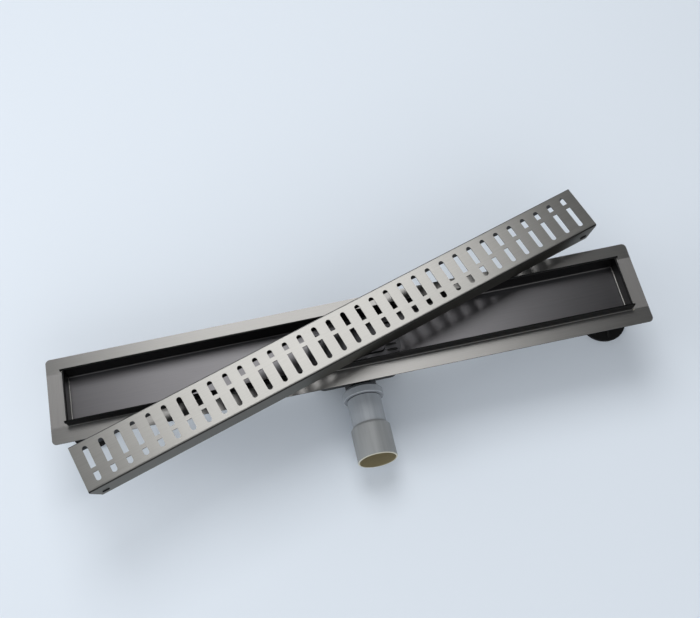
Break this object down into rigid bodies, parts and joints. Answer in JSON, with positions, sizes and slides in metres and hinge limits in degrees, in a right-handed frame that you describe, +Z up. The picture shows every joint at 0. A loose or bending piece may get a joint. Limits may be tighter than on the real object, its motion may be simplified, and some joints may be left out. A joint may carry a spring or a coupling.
{
  "type": "channel floor drain",
  "caption": "Long shower channel drain: folded steel tray with flange, loose slotted cover lying across it, side-outlet trap and adjustable feet.",
  "frame": {"origin": "on the standing surface under the middle of the tray", "axes": "+X along the tray, outlet towards -Y, +Z up"},
  "size_m": [0.75, 0.2717, 0.136],
  "materials": {
    "gunmetal_sheet": "brushed gunmetal stainless sheet",
    "gunmetal_cover": "brushed gunmetal stainless sheet, lighter",
    "black_plastic": "moulded black, satin",
    "black_rubber": "moulded black, matt",
    "white_plastic": "moulded, satin",
    "zinc_steel": "zinc plated",
    "grey_pipe": "extruded and moulded, satin blue grey",
    "grey_coupling": "moulded, satin grey"
  },
  "bodies": {
    "root": {"trough": "gunmetal_sheet", "end_cap_left": "gunmetal_sheet", "end_cap_right": "gunmetal_sheet", "cover": "gunmetal_cover", "sieve": "gunmetal_cover", "trap_gasket": "black_rubber", "trap_body": "black_plastic", "funnel_seal": "black_rubber", "funnel": "white_plastic", "trap_cup": "white_plastic", "clamp_studs": "zinc_steel", "clamp_nuts": "zinc_steel", "outlet_pipe": "grey_pipe", "outlet_seal": "black_rubber", "outlet_coupling": "grey_coupling", "foot_left_boss": "zinc_steel", "foot_left_stud": "zinc_steel", "foot_left_nut": "zinc_steel", "foot_left_pad": "black_rubber", "foot_right_boss": "zinc_steel", "foot_right_stud": "zinc_steel", "foot_right_nut": "zinc_steel", "foot_right_pad": "black_rubber"}
  },
  "joints": []
}
